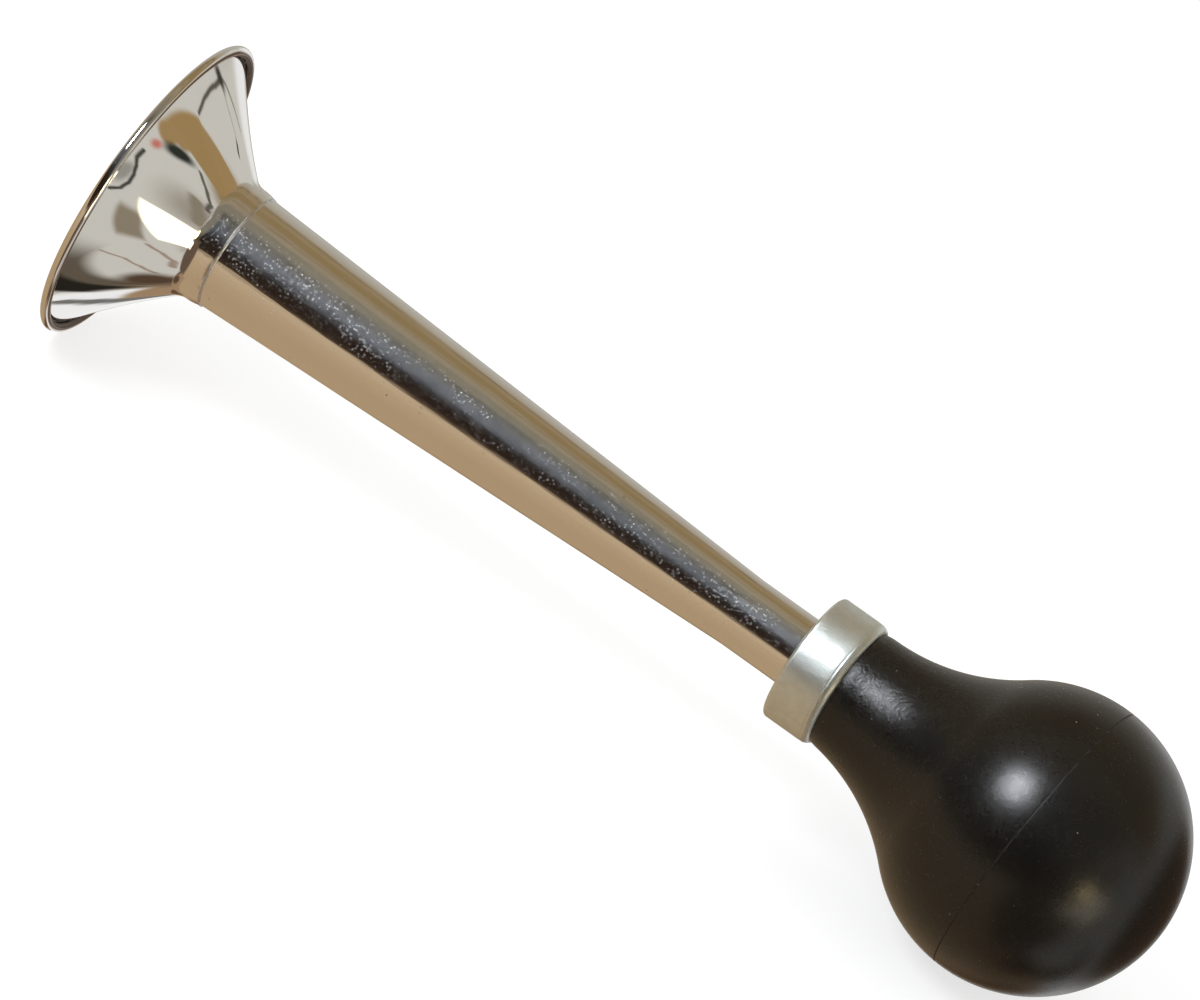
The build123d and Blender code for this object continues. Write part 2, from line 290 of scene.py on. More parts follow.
roomShapes = {
    "lowBrown": patch((42, -33), (27, 42), -38, 0.15, (100, 82, 68)),
    "highGrey": patch((33, 36), (26, 30), 0, 0.35, (126, 120, 108)),
    "endWall": patch((-31, -13), (53, 43), 0, 0.07, (203, 200, 193), square=True),
    "farBrown": patch((-45, -20), (31, 31), 0, 0.15, (98, 78, 62)),
    "farWhite": patch((-84, -16), (10, 22), 12, 0.5, (236, 236, 236)),
    "lowWhite": patch((-58, -57), (31.5, 4.2), -3, 0.12, (245, 245, 246), square=True),
    "lowGrey": stroke([(-33.5, -54), (-35, -57), (-42, -60), (-52, -61.4), (-70, -60)],
                      0.9, (118, 116, 113)),
    "tableUnder": patch((-15, -73), (44, 11), 0, 0.08, (160, 133, 104), square=True),
    "farUnder": patch((-53, -71), (18, 6.5), 0, 0.2, (98, 76, 58)),
    "shadeUpper": patch((13, 15), (8, 13), 22, 0.7, (158, 150, 138)),
    "shadeEdge": stroke([(5, 20), (12, 15), (17, 9)], 1.8, (137, 128, 112)),
    "hornShade": patch((2, -66), (14, 9), 0, 0.4, (88, 70, 54)),
    "goldCorner": patch((-23.5, 28), (8.2, 7.6), -19, 0.1, (158, 130, 87), square=True),
    "goldSide": patch((-34.4, 32.4), (7, 6), -35, 0.12, (160, 132, 90), square=True),
    "goldTail": patch((-14.8, 18.8), (4.6, 2.3), -20, 0.25, (160, 132, 90)),
    "goldMiddle": patch((-16.6, 21.6), (2.9, 2.7), 0, 0.25, (160, 132, 90)),
    "farStripe": stroke([(-61, 11.5), (-55, 15.4), (-46, 19.7), (-40, 21.7), (-35, 23)],
                        0.3, (88, 82, 72)),
    "farStripeSide": stroke([(-62, 10.6), (-68.7, 7.2), (-74.8, 3.6)], 0.22, (128, 124, 114)),
    "farStripeLow": stroke([(-60.5, 11.7), (-63, 12.3), (-65.3, 12.9), (-65.3, 14.5)],
                           0.2, (96, 92, 82)),
    "farKnot": patch((-60.5, 11.4), (3.0, 0.9), 20, 0.6, (64, 60, 54)),
    "farKnotLow": stroke([(-65, 14.6), (-62.4, 18)], 0.35, (62, 60, 54)),
    "topLine": stroke([(-12, 27), (-6, 27.6), (1, 26), (7, 21.5)], 0.55, (92, 90, 80)),
    "darkShape": patch((-10.8, 21.2), (2.1, 4.6), 30, 0.45, (46, 50, 44)),
    "redSpot": patch((-8.3, 14.8), (2.0, 1.0), -45, 0.7, (196, 118, 104)),
    "archInside": patch((1.4, 1.0), (1.3, 4.4), 22, 0.5, (150, 148, 140)),
    "arch": stroke([(-4.6, 10.4), (-2.1, 7.4), (0.2, 5.8), (2.6, 3.1), (4.4, -0.4), (5, -4.1), (4, -6.8)],
                   0.42, (58, 58, 52)),
    "brownPatch": patch((10.6, -16.3), (2.6, 7.6), 4, 0.3, (140, 128, 111), square=True),
    "brownStripe": stroke([(13.6, -26.5), (14.8, -31), (14, -37), (9, -44)], 0.6, (156, 138, 124)),
    "brownLine": stroke([(2.6, -35), (4, -39), (2.5, -45), (-1, -51)], 0.4, (156, 138, 120)),
    "lowShade": patch((-12.7, -47.5), (3.4, 18), -38, 0.45, (96, 86, 74), square=True),
    "lowDark": patch((-19.1, -50.5), (2.6, 11.5), -38, 0.3, (38, 35, 30), square=True),
    "lowSmear": patch((-11, -56.5), (10, 3.4), 29, 0.5, (84, 66, 52)),
    "endWindow": patch((19.2, -8.3), (7.0, 9.6), 23, 0.1, (255, 243, 216), glow=2.4, square=True),
    "endWindowSide": patch((31, -12), (8, 5), -5, 0.15, (255, 243, 216), glow=1.9, square=True),
    "warmGlow": patch((28.5, 2.5), (4.5, 5), 0, 0.5, (255, 228, 172), glow=8),
    "mainWindow": patch((71.3, 89.6), (8.5, 20), 51.5, 0.15, (243, 247, 255), glow=24, square=True),
    "farRed": patch((-68.5, 87), (4.5, 13), -20, 0.3, (96, 62, 56), glow=1.6),
}


def shapeMask(tree, spot, spec):
    # 1 inside the shape and 0 outside: the shape is a unit circle or square after its middle is
    # taken off and it is turned back and divided by its half size
    mapped = addNode(tree, "Mapping", {
        "Vector": spot,
        "Location": (*spec["middle"], 0),
        "Rotation": (0, 0, math.radians(spec["tilt"])),
        "Scale": (*spec["half"], 1),
    }, vector_type="TEXTURE").outputs["Vector"]
    if spec["square"]:
        sides = addNode(tree, "SeparateXYZ", {"Vector": vectorNode(tree, "ABSOLUTE", mapped)}).outputs
        reach = mathNode(tree, "MAXIMUM", sides["X"], sides["Y"])
    else:
        reach = vectorNode(tree, "LENGTH", mapped)
    return rangeNode(tree, reach, 1 + spec["soft"], 1 - spec["soft"], curve="SMOOTHSTEP")


def pathMask(tree, spot, spec):
    # 1 near a path of straight stretches: the nearest stretch's distance, over half the line's width
    nearest = None
    for start, end in zip(spec["path"], spec["path"][1:]):
        along = Vector(end) - Vector(start)
        mapped = addNode(tree, "Mapping", {
            "Vector": spot,
            "Location": (*((Vector(start) + Vector(end)) / 2), 0),
            "Rotation": (0, 0, math.atan2(along.y, along.x)),
        }, vector_type="TEXTURE").outputs["Vector"]
        flat = vectorNode(tree, "ABSOLUTE", mapped)
        past = vectorNode(tree, "SUBTRACT", flat, (along.length / 2, 0, 0))
        reach = vectorNode(tree, "LENGTH", vectorNode(tree, "MAXIMUM", past))
        nearest = reach if nearest is None else mathNode(tree, "MINIMUM", nearest, reach)
    return rangeNode(tree, nearest, spec["half"] * 1.6, spec["half"] * 0.4, curve="SMOOTHSTEP")


def makeWorld(spec, bands, shapes):
    world = bpy.data.worlds.new("room")
    bpy.context.scene.world = world
    world.cycles.sampling_method = "NONE"       # the mirrored room and the plain light differ
    tree = emptyTree(world)
    direction = addNode(tree, "TexCoord").outputs["Generated"]
    parts = addNode(tree, "SeparateXYZ", {"Vector": direction}).outputs
    near = times(tree, parts["Y"], -1.0)
    climb = mathNode(tree, "ARCTAN2", parts["Z"], near)
    turn = rangeNode(tree, climb, -math.pi, math.pi)
    stops = [((angle + 180) / 360, linear(*spec[name])) for angle, name in bands]
    mirrored = rampNode(tree, turn, stops)
    # Degrees off the bulb's end, shared between the near side and up
    off = mathNode(tree, "DEGREES", mathNode(tree, "ARCCOSINE", parts["X"]))
    nearOff = times(tree, off, mathNode(tree, "COSINE", climb))
    upOff = times(tree, off, mathNode(tree, "SINE", climb))
    flat = addNode(tree, "CombineXYZ", {"X": nearOff, "Y": upOff}).outputs["Vector"]
    waves = addNode(tree, "TexNoise", {
        "Vector": flat, "Scale": spec["wobbleScale"], "Detail": 2.0,
    }).outputs["Color"]
    centred = vectorNode(tree, "SUBTRACT", waves, (0.5, 0.5, 0.5))
    waver = vectorNode(tree, "MULTIPLY", centred, (spec["wobble"],) * 3)
    spot = vectorNode(tree, "ADD", flat, waver)
    for shape in shapes.values():
        colour = tuple(part * shape["glow"] for part in linear(*shape["colour"])[:3]) + (1.0,)
        mask = pathMask(tree, spot, shape) if "path" in shape else shapeMask(tree, spot, shape)
        mirrored = mixColours(tree, mask, mirrored, colour)
    rays = addNode(tree, "LightPath").outputs
    plain = (spec["diffuseLight"],) * 3 + (1.0,)
    lit = mixColours(tree, rays["Is Glossy Ray"], plain, mirrored)
    seen = mixColours(tree, rays["Is Camera Ray"], lit, (1.0, 1.0, 1.0, 1.0))
    shade = addNode(tree, "Background", {"Color": seen, "Strength": 1.0})
    addNode(tree, "OutputWorld", {"Surface": shade.outputs[0]})


makeWorld(room, roomBands, roomShapes)

# A pale floor, white to the camera apart from the horn's soft shadow. Glossy rays pass it, so that
# the metal mirrors the room's table instead.
floorSpec = {"size": 4.0, "glow": 0.72, "diffuse": 0.3}


def makeFloor(spec):
    half = spec["size"] / 2
    mesh = bpy.data.meshes.new("floor")
    corners = [(-half, -half, 0), (half, -half, 0), (half, half, 0), (-half, half, 0)]
    mesh.from_pydata(corners, [], [(0, 1, 2, 3)])
    floor = addObject("floor", mesh)
    material = bpy.data.materials.new("floorPaint")
    tree = emptyTree(material)
    diffuse = addNode(tree, "BsdfDiffuse", {"Color": (spec["diffuse"],) * 3 + (1.0,)})
    isCamera = addNode(tree, "LightPath").outputs["Is Camera Ray"]
    glow = addNode(tree, "Emission", {"Strength": times(tree, isCamera, spec["glow"])})
    both = addNode(tree, "AddShader", {0: diffuse.outputs[0], 1: glow.outputs[0]})
    addNode(tree, "OutputMaterial", {"Surface": both.outputs[0]})
    mesh.materials.append(material)
    floor.visible_glossy = False


makeFloor(floorSpec)

# Lamps: direction is from the horn, size and distance in metres, power in watts. They light what is
# matt, and the room above gives the highlights.
lamps = {
    "window": {"direction": (-0.44, -0.56, 0.70), "size": (0.5, 0.6), "distance": 1.6,
               "power": 14, "colour": (0.94, 0.97, 1.0)},
    "fill": {"direction": (0.3, 0.6, 0.74), "size": (1.0, 1.0), "distance": 2.0,
             "power": 6, "colour": (1.0, 0.98, 0.95)},
}


def makeLamp(name, spec):
    data = bpy.data.lights.new(name, "AREA")
    data.shape = "RECTANGLE"
    data.size, data.size_y = spec["size"]
    data.energy = spec["power"]
    data.color = spec["colour"]
    lamp = addObject(name, data)
    lamp.visible_glossy = False
    away = Vector(spec["direction"]).normalized()
    lamp.location = Vector((0, 0, axisZ)) + away * spec["distance"]
    lamp.rotation_mode = "QUATERNION"
    lamp.rotation_quaternion = away.to_track_quat("Z", "Y")


for name, spec in lamps.items():
    makeLamp(name, spec)
print("floor, room and lamps ready")


# Shapes. A profile is an array of (station, radius) points, and a turned piece is that profile
# carried round an axis.
def arc(centre, radius, start, turn, steps):
    # Points of a circle: centre + radius (cos a, sin a), a from start through turn, in degrees
    a = np.radians(start + turn * np.linspace(0, 1, steps))
    return np.column_stack((centre[0] + radius * np.cos(a), centre[1] + radius * np.sin(a)))


def straight(start, end, steps):
    # Points of a straight line: start + share (end - start)
    share = np.linspace(0, 1, steps)[:, None]
    return np.array(start) * (1 - share) + np.array(end) * share


def chain(*stretches):
    # Stretches end to end, each point that repeats the one before it left out
    points = np.vstack(stretches)
    step = np.linalg.norm(np.diff(points, axis=0), axis=1)
    return points[np.concatenate(([True], step > 1e-6))]


def eased(points, radius, steps=4):
    # A closed outline of straight sides with each corner cut by a small arc-like curve: near a
    # corner c, the point at share t is (1-t)^2 before + 2t(1-t) c + t^2 after
    points = np.array(points, float)
    before = np.roll(points, 1, axis=0) - points
    after = np.roll(points, -1, axis=0) - points
    lengthBefore = np.linalg.norm(before, axis=1, keepdims=True)
    lengthAfter = np.linalg.norm(after, axis=1, keepdims=True)
    cut = np.minimum(radius, 0.45 * np.minimum(lengthBefore, lengthAfter))
    near = points + before / lengthBefore * cut
    far = points + after / lengthAfter * cut
    t = np.linspace(0, 1, steps)[None, :, None]
    curve = (1 - t) ** 2 * near[:, None] + 2 * t * (1 - t) * points[:, None] + t**2 * far[:, None]
    return curve.reshape(-1, 2)


def finer(points, spacing):
    # A closed outline with points added so that none are further apart than spacing
    following = np.roll(points, -1, axis=0)
    pieces = []
    for start, end in zip(points, following):
        count = max(1, math.ceil(np.linalg.norm(end - start) / spacing))
        pieces.append(straight(start, end, count + 1)[:-1])
    return np.vstack(pieces)


def clockwise(outline):
    # The outline the way round that makes the turned faces point outwards
    u, r = outline[:, 0], outline[:, 1]
    area = np.sum(u * np.roll(r, -1) - np.roll(u, -1) * r) / 2
    return outline[::-1] if area > 0 else outline


def turnedGrid(profile, sides, ripple=None):
    # x = station, y = -radius cos a, z = radius sin a, for a all round: a = 0 is the near side and
    # 90 degrees is the top. ripple(station, radius, a) is added to the radius.
    a = np.linspace(0, 2 * math.pi, sides, endpoint=False)[:, None]
    station = np.broadcast_to(profile[:, 0], (sides, len(profile)))
    radius = np.broadcast_to(profile[:, 1], (sides, len(profile)))
    if ripple is not None:
        radius = radius + ripple(station, radius, np.broadcast_to(a, station.shape))
    return np.stack((station, -radius * np.cos(a), radius * np.sin(a)), axis=-1)


def gridFaces(rows, columns, wrapColumns):
    # Quads between each point, the next along its row and the two beside them in the next row
    index = np.arange(rows * columns).reshape(rows, columns)
    beside = np.roll(index, -1, axis=0)
    along = np.roll(index, -1, axis=1)
    besideAlong = np.roll(beside, -1, axis=1)
    last = columns if wrapColumns else columns - 1
    quads = np.stack((index, along, besideAlong, beside), axis=-1)[:, :last]
    return quads.reshape(-1, 4)


def meshPiece(name, points, faces, body, replaced, material, sharpAngle=40):
    # Points are (station, side, up) in millimetres from the mouth's centre
    world = np.asarray(points, float).reshape(-1, 3) * mm + np.array((mouthX, 0, axisZ))
    mesh = bpy.data.meshes.new(name)
    mesh.from_pydata(world.tolist(), [], faces)
    mesh.validate()
    mesh.shade_smooth()
    mesh.set_sharp_from_angle(angle=math.radians(sharpAngle))
    mesh.materials.append(material)
    piece = addObject(name, mesh)
    if body:
        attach(piece, body)
    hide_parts(*replaced)
    return piece


def turnedPiece(name, outline, sides, body, replaced, material, ripple=None):
    # A closed outline turned about the horn's axis
    grid = turnedGrid(clockwise(outline), sides, ripple)
    faces = gridFaces(sides, len(outline), True)
    meshPiece(name, grid, faces.tolist(), body, replaced, material)


# Materials. Grains, spacings and depths are millimetres.
plateSpec = {
    "bright": (0.92, 0.91, 0.885, 1),
    "dim": (0.87, 0.86, 0.83, 1),
    # The flecks' pale bluish grey is a painted sheen of window light caught by the haze
    "frostAndSheen": (0.42, 0.44, 0.48, 1),
    "rust": (0.25, 0.17, 0.11, 1),
    # Painted shade: dark brown for the crevice on the inner side of the rim's roll
    "paintedCreviceShade": (0.12, 0.08, 0.06, 1),
    "hazeStart": (20, 27),          # stations between which the haze comes in
    "lapHaze": (62, 34),            # and those between which it thickens, to the lap and the tail
    "tailHaze": (118, 180),
    "flecks": (0.62, 0.56),         # spacing and size
    "pits": (2.6, 0.5),
    "fleckSheenSide": (0, -0.84, 0.54),   # from the axis to the side where the flecks are painted pale: a painted sheen
    # Painted shade in the rim's crevice: the stations and radii where it comes in
    "paintedCreviceShadeStart": (1.5, 1.65),      # stations
    "paintedCreviceShadeRadii": ((40, 39.7), (38.45, 38.6)),      # from none to whole, at each of its edges
}


def makePlate(spec):
    # Old nickel plate: a bright, slightly warm mirror. From the bell's sleeve on it is drawn
    # lengthwise and hazed by a rough coat that catches the window. The haze is a thin bloom with a
    # frost of fine flecks, thicker in patches and near the ends. Along the upper near side the
    # flecks are painted pale bluish grey, a painted sheen of the window light that the haze catches
    # there. There are a few pits and brown spots. The inner side of the rim's roll is painted dark
    # brown, a painted shade in the crevice.
    material, tree, coords = newMaterial("nickelPlate")
    across = addNode(tree, "Mapping", {
        "Vector": coords, "Location": (0, 0, -axisZ), "Scale": (0, 1, 1),
    }).outputs["Vector"]
    radius = vectorNode(tree, "LENGTH", across)
    facing = mathNode(tree, "DIVIDE", vectorNode(tree, "DOT_PRODUCT", across, spec["fleckSheenSide"]), radius)
    # Painted sheen: how far each point faces the side where the flecks are painted pale
    fleckSheenSide = rangeNode(tree, facing, 0.92, 0.98, 0.06, 0.7)
    onTube = stationNode(tree, coords, *spec["hazeStart"])
    nearLap = stationNode(tree, coords, *spec["lapHaze"])
    nearTail = stationNode(tree, coords, *spec["tailHaze"])
    patches = noiseNode(tree, coords, 8.0, detail=3, roughness=0.6, stretch=(2.5, 1, 1))
    grain = noiseNode(tree, coords, 0.75, detail=2, roughness=0.65, stretch=(1.4, 1, 1))
    lines = noiseNode(tree, coords, 1.0, detail=2, roughness=0.6, stretch=(60, 1, 1))
    bloom = rangeNode(tree, patches, 0.35, 0.65, 0.22, 0.4)
    nearEnds = times(tree, mathNode(tree, "MAXIMUM", nearLap, nearTail), 0.1)
    thick = rangeNode(tree, mathNode(tree, "ADD", patches, nearEnds), 0.42, 0.66, 0.15, 1.0)
    flecks, draw = speckNode(tree, coords, *spec["flecks"])
    strong = rangeNode(tree, addNode(tree, "SeparateColor", {"Color": draw}).outputs["Red"], 0.35, 1.0)
    frosted = times(tree, flecks, strong, thick)
    haze = times(tree, mathNode(tree, "ADD", bloom, frosted), onTube)
    dots, draw = speckNode(tree, coords, *spec["pits"])
    lot = addNode(tree, "SeparateColor", {"Color": draw}).outputs
    pits = times(tree, onTube, mathNode(tree, "GREATER_THAN", lot["Red"], 0.75), dots)
    rust = times(tree, dots, mathNode(tree, "GREATER_THAN", lot["Green"], 0.95))
    # Painted shade: the crevice on the inner side of the rim's roll is painted dark brown, matt and less
    # metallic
    paintedCreviceShade = stationNode(tree, coords, *spec["paintedCreviceShadeStart"])
    for none, whole in spec["paintedCreviceShadeRadii"]:
        paintedCreviceShade = times(tree, paintedCreviceShade, rangeNode(tree, radius, none * mm, whole * mm))
    # Painted sheen: flecks painted pale bluish grey and less metallic, on the upper near side only
    dull = times(tree, frosted, onTube, fleckSheenSide)
    tone = mixColours(tree, patches, spec["dim"], spec["bright"])
    tone = mixColours(tree, dull, tone, spec["frostAndSheen"])
    tone = mixColours(tree, rust, tone, spec["rust"])
    plain = mathNode(tree, "MAXIMUM", paintedCreviceShade, times(tree, dull, 0.7))
    worn = rangeNode(tree, onTube, 0, 1, 0.03, 0.05)
    rough = mathNode(tree, "ADD", times(tree, pits, 0.1), times(tree, paintedCreviceShade, 0.5))
    drawn = bumpNode(tree, lines, 0.06, times(tree, onTube, 0.6))
    return finishMaterial(material, {
        "Base Color": mixColours(tree, paintedCreviceShade, tone, spec["paintedCreviceShade"]),
        "Metallic": mathNode(tree, "SUBTRACT", 1.0, plain),
        "Roughness": mathNode(tree, "ADD", worn, rough),
        "Normal": bumpNode(tree, pits, 0.04, 0.8, drawn),
        "Coat Weight": haze,
        "Coat Roughness": 0.3,
        "Coat IOR": 2.2,
        "Coat Normal": bumpNode(tree, grain, 0.02, 0.8),
    })


def makeSteel():
    # Drawn wire, dull and a little rusted
    material, tree, coords = newMaterial("steelWire")
    rust = noiseNode(tree, coords, 3.0, detail=4, roughness=0.65)
    stain = rangeNode(tree, rust, 0.5, 0.68)
    return finishMaterial(material, {
        "Base Color": mixColours(tree, stain, (0.3, 0.29, 0.28, 1), (0.13, 0.06, 0.03, 1)),
        "Metallic": rangeNode(tree, stain, 0, 1, 0.9, 0.3),
        "Roughness": rangeNode(tree, stain, 0, 1, 0.4, 0.8),
        "Normal": bumpNode(tree, rust, 0.05),
    })


def makeSolder():
    # Soft solder, bright where it was wiped and greyer in the hollows
    material, tree, coords = newMaterial("softSolder")
    lumps = noiseNode(tree, coords, 1.2, detail=4, roughness=0.6)
    return finishMaterial(material, {
        "Base Color": mixColours(tree, lumps, (0.6, 0.6, 0.61, 1), (0.93, 0.94, 0.96, 1)),
        "Metallic": 1.0,
        "Roughness": rangeNode(tree, lumps, 0.3, 0.7, 0.44, 0.26),
        "Normal": bumpNode(tree, lumps, 0.2),
    })


def makeBrass(name, bright, dull, grain):
    # Machined brass, with dull brown patches
    material, tree, coords = newMaterial(name)
    patches = noiseNode(tree, coords, grain, detail=5, roughness=0.65)
    scratches = noiseNode(tree, coords, 0.25, detail=2, stretch=(8, 1, 1))
    return finishMaterial(material, {
        "Base Color": mixColours(tree, rangeNode(tree, patches, 0.42, 0.66), bright, dull),
        "Metallic": 1.0,
        "Roughness": rangeNode(tree, patches, 0.3, 0.7, 0.22, 0.46),
        "Normal": bumpNode(tree, scratches, 0.01),
    })


def makeCork():
    # Sheet cork: tan, with dark flecks and pores
    material, tree, coords = newMaterial("sheetCork")
    grain = noiseNode(tree, coords, 1.4, detail=5, roughness=0.7)
    dots = speckNode(tree, coords, 1.1, 0.5)[0]
    tone = mixColours(tree, grain, (0.22, 0.115, 0.05, 1), (0.56, 0.36, 0.19, 1))
    return finishMaterial(material, {
        "Base Color": mixColours(tree, dots, tone, (0.09, 0.045, 0.02, 1)),
        "Roughness": 0.85,
        "Normal": bumpNode(tree, mathNode(tree, "SUBTRACT", grain, dots), 0.12),
    })


def makeLeather():
    # Oiled leather, red-brown, with a fine felt of threads at its cut edge
    material, tree, coords = newMaterial("oiledLeather")
    felt = noiseNode(tree, coords, 0.5, detail=5, roughness=0.7)
    return finishMaterial(material, {
        "Base Color": mixColours(tree, felt, (0.09, 0.03, 0.016, 1), (0.3, 0.12, 0.06, 1)),
        "Roughness": rangeNode(tree, felt, 0.3, 0.7, 0.5, 0.8),
        "Normal": bumpNode(tree, felt, 0.06),
    })


def makeAluminium():
    # Spun aluminium, satin under a thin film: fine rings round the axis and a cloudy bloom
    material, tree, coords = newMaterial("spunAluminium")
    rings = noiseNode(tree, coords, 0.16, detail=2, stretch=(1, 60, 60))
    cloud = noiseNode(tree, coords, 1.5, detail=5, roughness=0.72, stretch=(1.6, 1, 1))
    scuffs = noiseNode(tree, coords, 0.35, detail=2, roughness=0.6)
    ringed = bumpNode(tree, rings, 0.012, 0.5)
    scuffed = bumpNode(tree, scuffs, 0.03, 0.6, ringed)
    return finishMaterial(material, {
        "Base Color": mixColours(tree, cloud, (0.66, 0.705, 0.655, 1), (0.88, 0.935, 0.92, 1)),
        "Metallic": 0.95,
        "Roughness": rangeNode(tree, cloud, 0.35, 0.65, 0.5, 0.35),
        "Normal": bumpNode(tree, cloud, 0.13, 0.7, scuffed),
    })


def makeRubber(spec):
    # Old moulded rubber: black with a brown cast, satin, mottled, with dust in its grain
    material, tree, coords = newMaterial("blackRubber")
    grain = noiseNode(tree, coords, 0.6, detail=3, roughness=0.65)
    mottle = noiseNode(tree, coords, 1.6, detail=4, roughness=0.65)
    cloud = noiseNode(tree, coords, 14.0, detail=5, roughness=0.6)
    dots, draw = speckNode(tree, coords, 2.4, 0.42)
    lot = addNode(tree, "SeparateColor", {"Color": draw}).outputs
    dust = times(tree, dots, rangeNode(tree, lot["Red"], 0.8, 1.0, 0.0, 0.8))
    tone = mixColours(tree, cloud, (0.005, 0.0048, 0.004, 1), (0.0085, 0.007, 0.0054, 1))
    # The mould left a matt line where its halves met, square to the bulb's axis at the ball's middle
    tilt = math.radians(spec["tilt"])
    axis = Vector((math.cos(tilt), 0, -math.sin(tilt)))
    middle = place(collarSpec["rear"], 0, 0) + axis * spec["reach"] * mm
    past = vectorNode(tree, "DOT_PRODUCT", coords, axis)
    away = mathNode(tree, "ABSOLUTE", mathNode(tree, "SUBTRACT", past, middle.dot(axis)))
    onLine = rangeNode(tree, away, spec["mouldWidth"] * 2 * mm, spec["mouldWidth"] * mm, 0.0, 0.35)
    rough = rangeNode(tree, cloud, 0.3, 0.7, 0.2, 0.25)
    rough = mathNode(tree, "ADD", rough, times(tree, mottle, 0.09))
    # The neck is rougher than the ball, where hands have worn it
    onNeck = stationNode(tree, coords, *spec["neckGrain"], 0.25, 1.0)
    mottled = bumpNode(tree, mottle, 0.13, onNeck)
    return finishMaterial(material, {
        "Base Color": mixColours(tree, dust, tone, (0.3, 0.29, 0.25, 1)),
        "Roughness": mathNode(tree, "ADD", rough, onLine),
        "Normal": bumpNode(tree, grain, 0.075, onNeck, mottled),
    })


plate = makePlate(plateSpec)
steel = makeSteel()
solder = makeSolder()
brass = makeBrass("turnedBrass", (0.75, 0.5, 0.2, 1), (0.36, 0.22, 0.09, 1), 6.0)
reedBrass = makeBrass("reedBrass", (0.83, 0.58, 0.26, 1), (0.5, 0.32, 0.13, 1), 9.0)
cork = makeCork()
leather = makeLeather()
aluminium = makeAluminium()
print("materials ready")

# Bell: one sheet, whose line is a sleeve, a small throat arc, a long flare arc and a curl round the
# rim's wire, each tangent to the next
bellSpec = {
    "sheet": 0.5,
    "wireCentre": (1.3, 40.1),
    "wireRadius": 0.8,
    "curlTurn": -285,
    "flareCentre": (134.63, 144.27),
    "flareRadius": 170.0,
    "rimSlope": 52.0,
    "throatCentre": (24.84, 21.1),
    "throatRadius": 5.0,
    "throatSlope": 41.713,
    "lapStation": 28.3,
    "sleeveRadius": 16.1,
    "lapRadius": 15.62,         # the sleeve's edge is dressed down almost to the tube
    "lapWall": 0.2,
    "backSteps": (10, 16, 36, 18),      # points of the sleeve, throat, flare and curl
    "frontSteps": (4, 8, 18, 90),
    "sides": 480,
}


def bellFace(spec, depth, steps):
    # The line of one face of the sheet: depth is 0 at the back, where the wire is. The sleeve falls
    # from the throat to the lap as the square of the way along it.
    throat, throatSlope, rimSlope = spec["throatCentre"], spec["throatSlope"], spec["rimSlope"]
    rise = throatSlope - rimSlope
    share = np.linspace(1, 0, steps[0])
    radius = spec["sleeveRadius"] - depth
    lapDepth = depth * spec["lapWall"] / spec["sheet"]
    fall = (radius - spec["lapRadius"] + lapDepth) * share**2
    length = spec["lapStation"] - throat[0]
    return chain(
        np.column_stack((throat[0] + length * share, radius - fall)),
        arc(throat, spec["throatRadius"] + depth, -90, -throatSlope, steps[1]),
        arc(spec["flareCentre"], spec["flareRadius"] + depth, -90 - throatSlope, rise, steps[2]),
        arc(spec["wireCentre"], spec["wireRadius"] + depth, 270 - rimSlope, spec["curlTurn"], steps[3]),
    )


def bellRipple(station, radius, a):
    # Slow waves left by spinning the bell, no deeper than a few hundredths, none at the rim
    share = np.clip((station - 3) / 10, 0, 1)
    wave = np.sin(3 * a + 0.4 + station * 0.11) + 0.7 * np.sin(5 * a - 1.3 - station * 0.19)
    return -0.02 * share * (2 + wave)


def makeBell(spec):
    back = bellFace(spec, 0, spec["backSteps"])
    front = bellFace(spec, spec["sheet"], spec["frontSteps"])
    outline = np.vstack((back, front[::-1]))
    turnedPiece("bellShell", outline, spec["sides"], "horn", ["bell"], plate, bellRipple)


makeBell(bellSpec)


def makeRimWire(spec):
    outline = arc(spec["wireCentre"], spec["wireRadius"], 0, -360, 25)[:-1]
    turnedPiece("rimWire", outline, 256, "horn", ["rim_wire"], steel)


makeRimWire(bellSpec)

# Taper tube with its straight tail
tubeSpec = {
    "start": 23.6,
    "taperEnd": 179.2,
    "end": 199.0,
    "wall": 0.5,
    "lapRadius": 15.35,
    "tailRadius": 9.05,
    "edge": 0.12,           # how far its corners are cut
    "sides": 256,
}


def tubeRadius(station):
    # Straight taper from the lap to the tail, then level
    length = tubeSpec["taperEnd"] - bellSpec["lapStation"]
    slope = (tubeSpec["lapRadius"] - tubeSpec["tailRadius"]) / length
    return tubeSpec["tailRadius"] + slope * max(tubeSpec["taperEnd"] - station, 0)


def tubeRipple(station, radius, a):
    # Slight flats and waves along the rolled and drawn sheet
    wave = np.sin(2 * a + 0.7 + station * 0.021) + 0.6 * np.sin(3 * a - 0.5 + station * 0.047)
    ends = np.clip((station - 30) / 12, 0, 1) * np.clip((184 - station) / 12, 0, 1)
    return 0.018 * ends * (wave + 0.35 * np.sin(7 * a + station * 0.13))


def makeTube(spec):
    corners = [
        (spec["start"], tubeRadius(spec["start"])),
        (spec["taperEnd"], spec["tailRadius"]),
        (spec["end"], spec["tailRadius"]),
        (spec["end"], spec["tailRadius"] - spec["wall"]),
        (spec["taperEnd"], spec["tailRadius"] - spec["wall"]),
        (spec["start"], tubeRadius(spec["start"]) - spec["wall"]),
    ]
    outline = finer(eased(corners, spec["edge"]), 1.6)
    turnedPiece("hornTube", outline, spec["sides"], "horn", ["horn_tube"], plate, tubeRipple)


makeTube(tubeSpec)

# Solder in the lap between the bell's sleeve and the tube
lapSpec = {"seat": 3.0, "run": 0.65, "crown": 0.07, "foot": 15.38, "sides": 320}


